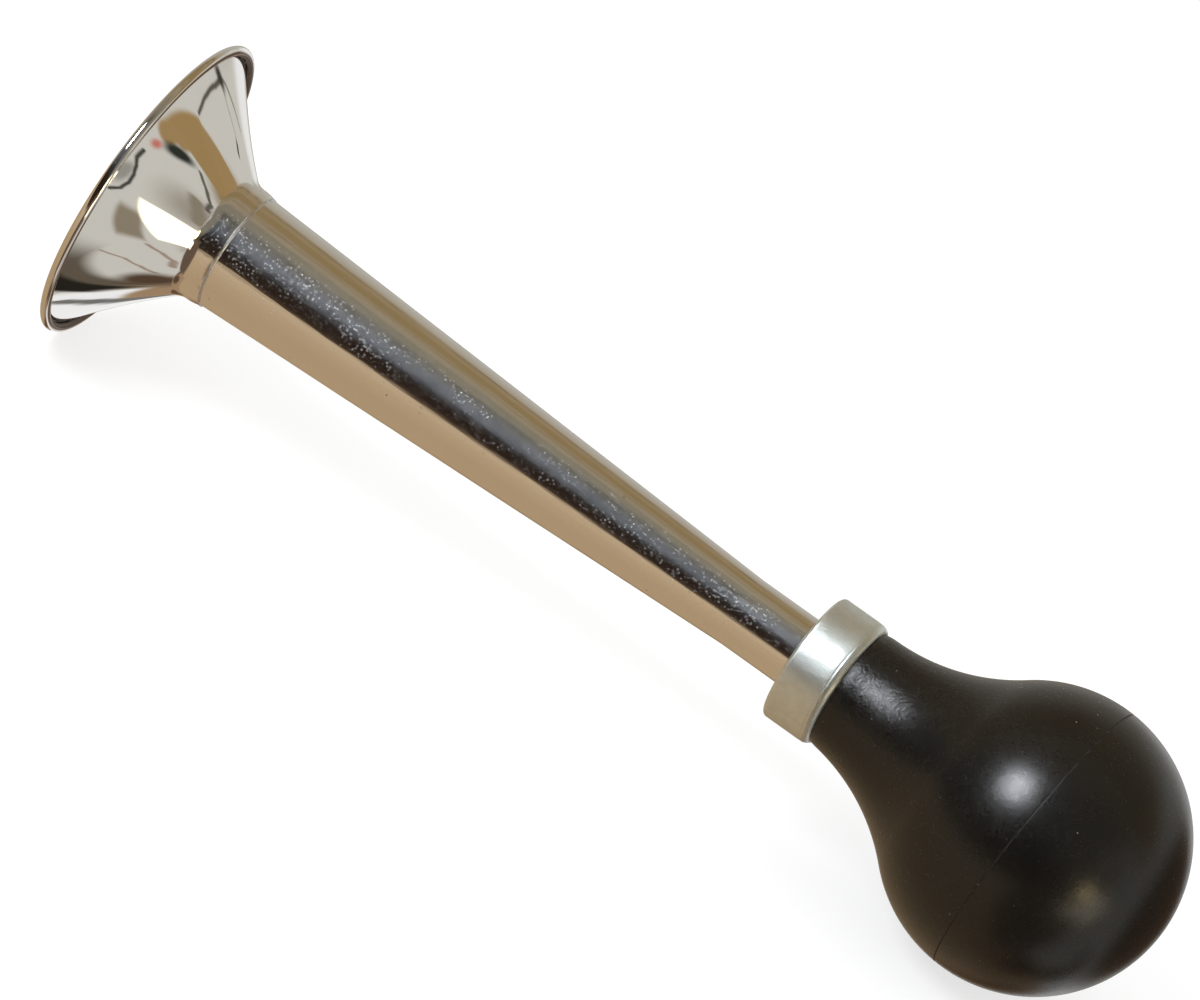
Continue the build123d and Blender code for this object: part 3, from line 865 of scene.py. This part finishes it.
def lapRipple(station, radius, a):
    # Runs and small gaps of the solder at the edge of the sleeve
    onEdge = np.clip((station - bellSpec["lapStation"]) / 0.1, 0, 1)
    edge = onEdge * np.clip((radius - lapSpec["foot"]) / 0.1, 0, 1)
    wave = np.sin(9 * a + 1.1) + np.sin(23 * a + 0.3) + 0.8 * np.sin(41 * a + 2.0)
    return -0.035 * edge * (2.2 + wave)


def makeLap(spec):
    lap, top = bellSpec["lapStation"], bellSpec["lapRadius"]
    corners = [
        (lap - spec["seat"], tubeRadius(lap - spec["seat"])),
        (lap - spec["seat"], tubeRadius(lap) + 0.3),
        (lap - 0.05, top - bellSpec["lapWall"]),
        (lap - 0.05, top + spec["crown"] / 2),
        (lap + 0.2 * spec["run"], top + spec["crown"]),
        (lap + 0.6 * spec["run"], top - 0.02),
        (lap + spec["run"], tubeRadius(lap + spec["run"])),
    ]
    outline = finer(eased(corners, 0.06), 0.08)
    turnedPiece("lapSolder", outline, spec["sides"], "horn", ["bell_solder"], solder, lapRipple)


makeLap(lapSpec)

# Tail socket, with the male thread that the bulb screws onto
socketSpec = {
    "spigotStart": 187.0,
    "shoulderRadius": 9.0,
    "shoulderEnd": 199.6,
    "threadRadius": 8.0,
    "threadPitch": 1.5,
    "threadDepth": 0.8,
    "threadEnd": 208.6,
    "chamfer": 0.5,
    "bore": 5.5,
    "sides": 144,
}


def threadWave(station, a):
    # One start: a triangle wave of station / pitch - a / full turn
    phase = station / socketSpec["threadPitch"] - a / (2 * math.pi)
    return np.abs(2 * (phase - np.floor(phase)) - 1)


def socketThread(station, radius, a):
    # The wave is the groove's depth, faded in at the shoulder and only on the outer face
    spec = socketSpec
    wave = threadWave(station, a)
    fade = np.clip((station - spec["shoulderEnd"] - 0.3) / 0.6, 0, 1)
    outer = (radius > spec["bore"] + 1) & (radius < spec["threadRadius"] + 0.05)
    return -spec["threadDepth"] * np.clip(wave * 1.25 - 0.12, 0, 1) * fade * outer


def makeSocket(spec):
    spigotRadius = tubeSpec["tailRadius"] - tubeSpec["wall"]
    corners = [
        (spec["spigotStart"], spec["bore"]),
        (spec["spigotStart"], spigotRadius),
        (tubeSpec["end"], spigotRadius),
        (tubeSpec["end"], spec["shoulderRadius"]),
        (spec["shoulderEnd"], spec["shoulderRadius"]),
        (spec["shoulderEnd"], spec["threadRadius"]),
        (spec["threadEnd"] - spec["chamfer"], spec["threadRadius"]),
        (spec["threadEnd"], spec["threadRadius"] - spec["chamfer"]),
        (spec["threadEnd"], spec["bore"]),
    ]
    outline = finer(eased(corners, 0.08), 0.09)
    turnedPiece("tailSocket", outline, spec["sides"], "horn", ["tail_socket"], brass, socketThread)


makeSocket(socketSpec)

# Washer between the socket's shoulder and the bulb's bush
washerSpec = {"inner": 8.3, "outer": 9.2, "start": 199.6, "thickness": 1.0, "sides": 160}


def washerRipple(station, radius, a):
    # Cut leather is a little uneven
    return -0.02 * (1 + np.sin(11 * a) * np.sin(5 * a + 1))


def makeWasher(spec):
    end = spec["start"] + spec["thickness"]
    corners = [
        (spec["start"], spec["inner"]),
        (spec["start"], spec["outer"]),
        (end, spec["outer"]),
        (end, spec["inner"]),
    ]
    outline = eased(corners, 0.2, 6)
    turnedPiece(
        "leatherWasher", outline, spec["sides"], "seal", ["gasket"], leather, washerRipple
    )


makeWasher(washerSpec)

# Collar: a cup spun over the neck's bead, with a rounded front corner and an uneven rolled-in edge
collarSpec = {
    "front": 197.4,
    "rear": 210.6,
    "radius": 16.9,
    "wall": 1.0,
    "hole": 9.4,
    "corner": 1.0,
    "rollLength": 2.3,
    "rollDepth": 1.0,
    "lip": 0.4,             # how far the rear edge is rounded
    "waveLength": 1.8,      # how far from the edge its waves reach
    "groove": 2.1,          # how far from the edge the tool stopped, and how wide its line is
    "grooveWidth": 0.22,
    "sides": 384,
}


def collarFace(spec, depth):
    # The line of one face: front plate, quarter round, band, and an arc that draws the edge in
    rollRadius = (spec["rollLength"] ** 2 + spec["rollDepth"] ** 2) / (2 * spec["rollDepth"])
    rollTurn = math.degrees(math.asin(spec["rollLength"] / rollRadius))
    cornerCentre = (spec["front"] + spec["corner"], spec["radius"] - spec["corner"])
    rollCentre = (spec["rear"] - spec["rollLength"], spec["radius"] - rollRadius)
    return chain(
        straight((spec["front"] + depth, spec["hole"]), (spec["front"] + depth, cornerCentre[1]), 12),
        arc(cornerCentre, spec["corner"] - depth, 180, -90, 12),
        straight((cornerCentre[0], spec["radius"] - depth), (rollCentre[0], spec["radius"] - depth), 18),
        arc(rollCentre, rollRadius - depth, 90, -rollTurn, 40),
    )


def collarRipple(station, radius, a):
    # Where the edge was rolled in by hand it waves a little, more the nearer the edge
    spec = collarSpec
    reach = spec["waveLength"]
    share = np.clip((station - (spec["rear"] - reach)) / reach, 0, 1) ** 1.5
    wave = np.sin(4 * a + 0.6) + 0.8 * np.sin(7 * a + 2.1) + 0.5 * np.sin(15 * a + 0.2)
    # A shallow line in front of the lip, where the tool stopped
    outer = radius > spec["radius"] - spec["rollDepth"] - 0.05
    off = (station - spec["rear"] + spec["groove"] + 0.08 * wave) / spec["grooveWidth"]
    groove = np.exp(-(off**2)) * outer
    return -0.035 * share * (2.3 + wave) - 0.06 * groove


def makeCollar(spec):
    outer, inner = collarFace(spec, 0), collarFace(spec, spec["wall"])
    outer, corner = outer[outer[:, 0] < spec["rear"] - spec["lip"]], outer[-1]
    end = (spec["rear"], corner[1] - spec["lip"])
    # The lip: at share t of the way it is (1-t)^2 the band's end + 2t(1-t) the corner + t^2 the end
    t = np.linspace(0, 1, 12)[:, None]
    lip = (1 - t) ** 2 * outer[-1] + 2 * t * (1 - t) * corner + t**2 * np.array(end)
    outline = np.vstack((chain(outer, lip), inner[::-1]))
    turnedPiece(
        "collarCup", outline, spec["sides"], "bulb_fitting", ["collar"], aluminium, collarRipple
    )


makeCollar(collarSpec)

# Bush in the neck: flange, washer seat, barbs and the female thread
bushSpec = {
    "flangeRadius": 15.0,
    "flangeEnd": 200.9,
    "barbRadius": 12.4,
    "rootRadius": 11.7,
    "barbPitch": 3.1,
    "barbs": 3,
    "bore": 8.15,
    "seat": 200.6,
    "threadDepth": 0.75,
    "sides": 144,
}


def bushThread(station, radius, a):
    # The socket's thread again, cut outwards into the bore
    spec = bushSpec
    wave = threadWave(station, a)
    fade = np.clip((station - spec["seat"] - 0.4) / 0.4, 0, 1)
    inner = radius < spec["bore"] + 0.05
    return spec["threadDepth"] * np.clip((1 - wave) * 1.25 - 0.12, 0, 1) * fade * inner


def makeBush(spec):
    start = collarSpec["front"] + collarSpec["wall"]
    end = spec["flangeEnd"] + spec["barbPitch"] * spec["barbs"]
    barbs = []
    for number in range(spec["barbs"]):
        front = spec["flangeEnd"] + number * spec["barbPitch"]
        barbs += [(front, spec["barbRadius"]), (front + spec["barbPitch"], spec["rootRadius"])]
    corners = [
        (start, collarSpec["hole"]),
        (start, spec["flangeRadius"]),
        (spec["flangeEnd"], spec["flangeRadius"]),
        *barbs,
        (end, spec["bore"]),
        (spec["seat"], spec["bore"]),
        (spec["seat"], collarSpec["hole"]),
    ]
    outline = finer(eased(corners, 0.1), 0.12)
    turnedPiece(
        "neckBush", outline, spec["sides"], "bulb_fitting", ["neck_bush"], brass, bushThread
    )


makeBush(bushSpec)

# Rubber bulb: a ball on a swept neck that droops from the collar, hollow, with a level bead inside
# the collar and the mould's fine line round its middle
bulbSpec = {
    "ball": 37.43,
    "reach": 56.9,
    "wall": 2.8,
    "neck": 15.7,
    "sweep": 51.0,
    "tilt": math.degrees(math.asin(3.9 / 56.9)),
    "gap": 0.12,
    "beadStart": 201.02,
    "beadRadius": 15.78,
    "boreRadius": 12.52,
    "mouldLine": 0.07,      # how deep the mould's line is
    "mouldWidth": 0.13,
    "mouldZone": 0.9,       # degrees of the ball either side of its middle with finer steps
    "bendLength": 7.0,
    "neckStart": 1.3,       # how far behind the collar's edge the outside and the hollow start
    "hollowStart": 1.0,
    "neckGrain": (240, 224),        # stations between which the neck's grain comes in
    "sides": 256,
}


def bulbWall(spec, depth, steps):
    # The line of one face of the neck and ball, from the neck to the pole: an arc that sweeps
    # outwards, tangent to the neck, then the ball's own arc. Lengths run from the collar's edge.
    sweep, ball, neck = spec["sweep"] + depth, spec["ball"] - depth, spec["neck"] - depth
    turn = math.degrees(math.acos((neck + sweep) / (ball + sweep)))
    start = spec["reach"] - (ball + sweep) * math.sin(math.radians(turn))
    middle, zone = (spec["reach"], 0), spec["mouldZone"]
    return chain(
        arc((start, neck + sweep), sweep, -90, turn, steps // 3),
        arc(middle, ball, 90 + turn, zone - turn, steps // 2),
        arc(middle, ball, 90 + zone, -2 * zone, steps // 4),
        arc(middle, ball, 90 - zone, zone - 90, steps),
    )


def bulbBend(points, spec):
    # Past the collar's edge the neck turns down to the droop within a few millimetres:
    # each point turns about the pivot by tilt times a smooth share of its distance
    length = points[..., 0] - collarSpec["rear"]
    share = np.clip((length + spec["bendLength"] / 2) / spec["bendLength"], 0, 1)
    angle = math.radians(spec["tilt"]) * share * share * (3 - 2 * share)
    up = points[..., 2]
    return np.stack((
        collarSpec["rear"] + length * np.cos(angle) + up * np.sin(angle),
        points[..., 1],
        up * np.cos(angle) - length * np.sin(angle),
    ), axis=-1)


def bulbRipple(station, radius, a):
    # The mould's line, a fine groove round the ball's middle: depth exp(-(way off / width)^2)
    spec = bulbSpec
    off = (station - collarSpec["rear"] - spec["reach"]) / spec["mouldWidth"]
    outer = radius > spec["ball"] - 1
    return -spec["mouldLine"] * np.exp(-(off**2)) * outer


def makeBulb(spec):
    rear, gap = collarSpec["rear"], spec["gap"]
    outside = bulbWall(spec, 0, 100)
    outside = outside[outside[:, 0] > spec["neckStart"]]
    inside = bulbWall(spec, spec["wall"], 40)
    inside = inside[inside[:, 0] > spec["hollowStart"]]
    under = collarFace(collarSpec, collarSpec["wall"] + gap)
    under = under[under[:, 0] > bushSpec["flangeEnd"] + 2]
    bead = [(spec["beadStart"], spec["boreRadius"]), (spec["beadStart"], spec["beadRadius"])]
    outside = outside + (rear, 0)
    inside = inside + (rear, 0)
    # The rubber swells behind the collar's edge: (1-t)^2 start + 2t(1-t) corner + t^2 end
    t = np.linspace(0, 1, 10)[1:-1, None]
    start, corner = under[-1] + (0.1, 0), np.array((rear + 0.25, spec["neck"] - 0.05))
    shoulder = (1 - t) ** 2 * start + 2 * t * (1 - t) * corner + t**2 * outside[0]
    profile = np.vstack((
        inside[::-1],
        straight((rear - 0.2, spec["boreRadius"] + 0.2), (spec["beadStart"] + 0.3, spec["boreRadius"]), 20),
        eased([*bead, (spec["beadStart"] + 3, spec["beadRadius"])], 0.3)[1:8],
        under,
        shoulder,
        outside,
    ))
    profile[0, 1] = 0
    profile[-1, 1] = 0
    grid = bulbBend(turnedGrid(profile, spec["sides"], bulbRipple), spec)
    columns = len(profile)
    # The poles are one point each, with a fan of triangles round them
    inner = grid[:, 1:-1].reshape(-1, 3)
    poles = np.vstack((grid[:1, 0], grid[:1, -1]))
    index = np.arange(len(inner)).reshape(spec["sides"], columns - 2)
    beside = np.roll(index, -1, axis=0)
    firstPole, lastPole = len(inner), len(inner) + 1
    fans = [(firstPole, a, b) for a, b in zip(index[:, 0].tolist(), beside[:, 0].tolist())]
    fans += [(lastPole, b, a) for a, b in zip(index[:, -1].tolist(), beside[:, -1].tolist())]
    faces = gridFaces(spec["sides"], columns - 2, False).tolist() + fans
    points = np.vstack((inner, poles))
    rubber = makeRubber(spec)
    piece = meshPiece("rubberBulb", points, faces, None, ["rubber_bulb"], rubber, 60)
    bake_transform(piece)


makeBulb(bulbSpec)

# Tongue of the reed: a strip held under the clamp, then curved off the face
tongueSpec = {
    "start": 210.2,
    "clampEnd": 215.2,
    "reach": 25.4,
    "lift": 0.8,
    "face": 0.8,
    "width": 4.8,
    "thickness": 0.25,
    "bendLength": 6.0,
}


def makeTongue(spec):
    # Its height over the face is lift (length past the clamp / reach)^2
    station = np.linspace(spec["start"], spec["clampEnd"] + spec["reach"], 90)
    past = np.clip(station - spec["clampEnd"], 0, None)
    under = spec["face"] + spec["lift"] * (past / spec["reach"]) ** 2
    half, thick = spec["width"] / 2, spec["thickness"]
    section = eased([(-half, 0), (-half, thick), (half, thick), (half, 0)], 0.06)
    points = np.stack((
        np.broadcast_to(station[:, None], (len(station), len(section))),
        np.broadcast_to(section[:, 0], (len(station), len(section))),
        under[:, None] + section[:, 1],
    ), axis=-1)
    count = len(section)
    faces = gridFaces(len(station), count, True)[: (len(station) - 1) * count].tolist()
    faces += [list(range(count)), [len(station) * count - 1 - k for k in range(count)]]
    piece = meshPiece("reedTongue", points, faces, None, ["reed_tongue"], reedBrass)
    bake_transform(piece)


makeTongue(tongueSpec)
print("pieces made")

# Nodes kept from the frame, with their finish
finishes = {
    "tail_solder": solder,
    "reed_cork": cork,
    "reed_body": reedBrass,
    "reed_end_plug": reedBrass,
    "reed_clamp": reedBrass,
    "reed_screws": brass,
}
for name, material in finishes.items():
    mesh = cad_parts[name].data
    mesh.materials.clear()
    mesh.materials.append(material)
print("frame nodes finished")
